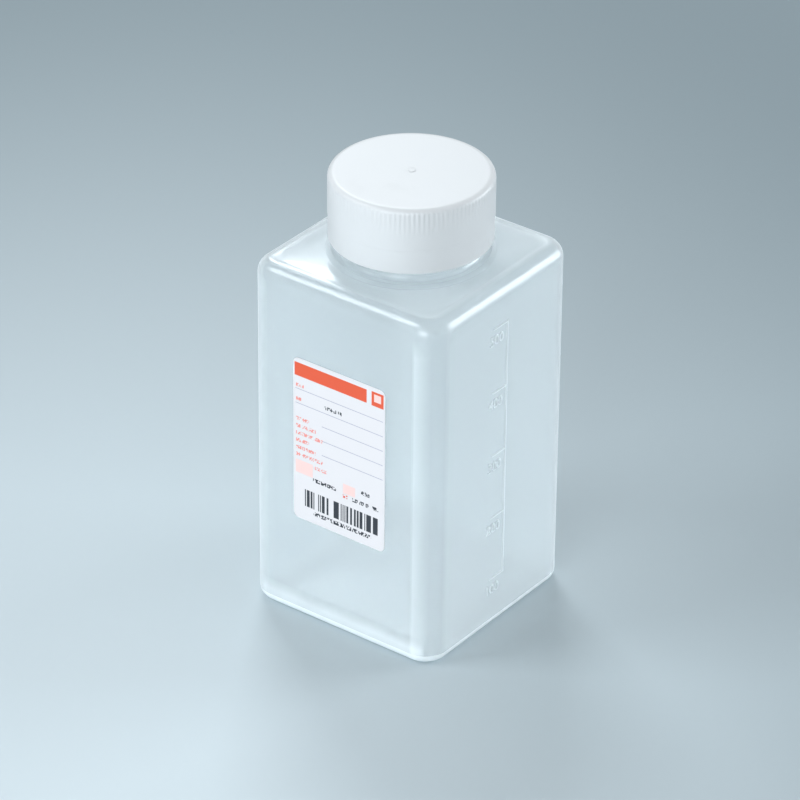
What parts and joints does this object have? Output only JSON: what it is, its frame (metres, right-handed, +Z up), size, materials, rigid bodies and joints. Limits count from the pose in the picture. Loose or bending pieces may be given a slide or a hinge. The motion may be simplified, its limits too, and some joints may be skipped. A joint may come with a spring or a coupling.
{
  "type": "reagent bottle",
  "caption": "Square translucent plastic reagent bottle with a wide neck, ribbed screw cap, moulded scale and paper label.",
  "frame": {"origin": "middle of the flat standing face under the bottle", "axes": "+Z up along the neck, -Y out of the side with the label, +X out of the side with the scale"},
  "size_m": [0.0703, 0.0701, 0.146],
  "materials": {
    "milky_plastic": "satin",
    "white_plastic": "satin",
    "liner_foam": "matte",
    "label_paper": "matte"
  },
  "bodies": {
    "bottle": {"bottle_body": "milky_plastic", "front_label": "label_paper"},
    "liner": {"cap_liner": "liner_foam"},
    "cap": {"screw_cap": "white_plastic"}
  },
  "joints": [
    {"name": "cap_lift", "type": "slide", "parent": "bottle", "child": "liner", "axis": [0, 0, 1], "range_m": [0, 0.0226]},
    {"name": "cap_turn", "type": "hinge", "parent": "liner", "child": "cap", "pos_m": [0, 0, 0.1353], "axis": [0, 0, 1], "range_deg": [0, 1620]}
  ],
  "couplings": [
    {"joint": "cap_lift", "follows": "cap_turn", "m_per_rad": 0.00079577}
  ]
}
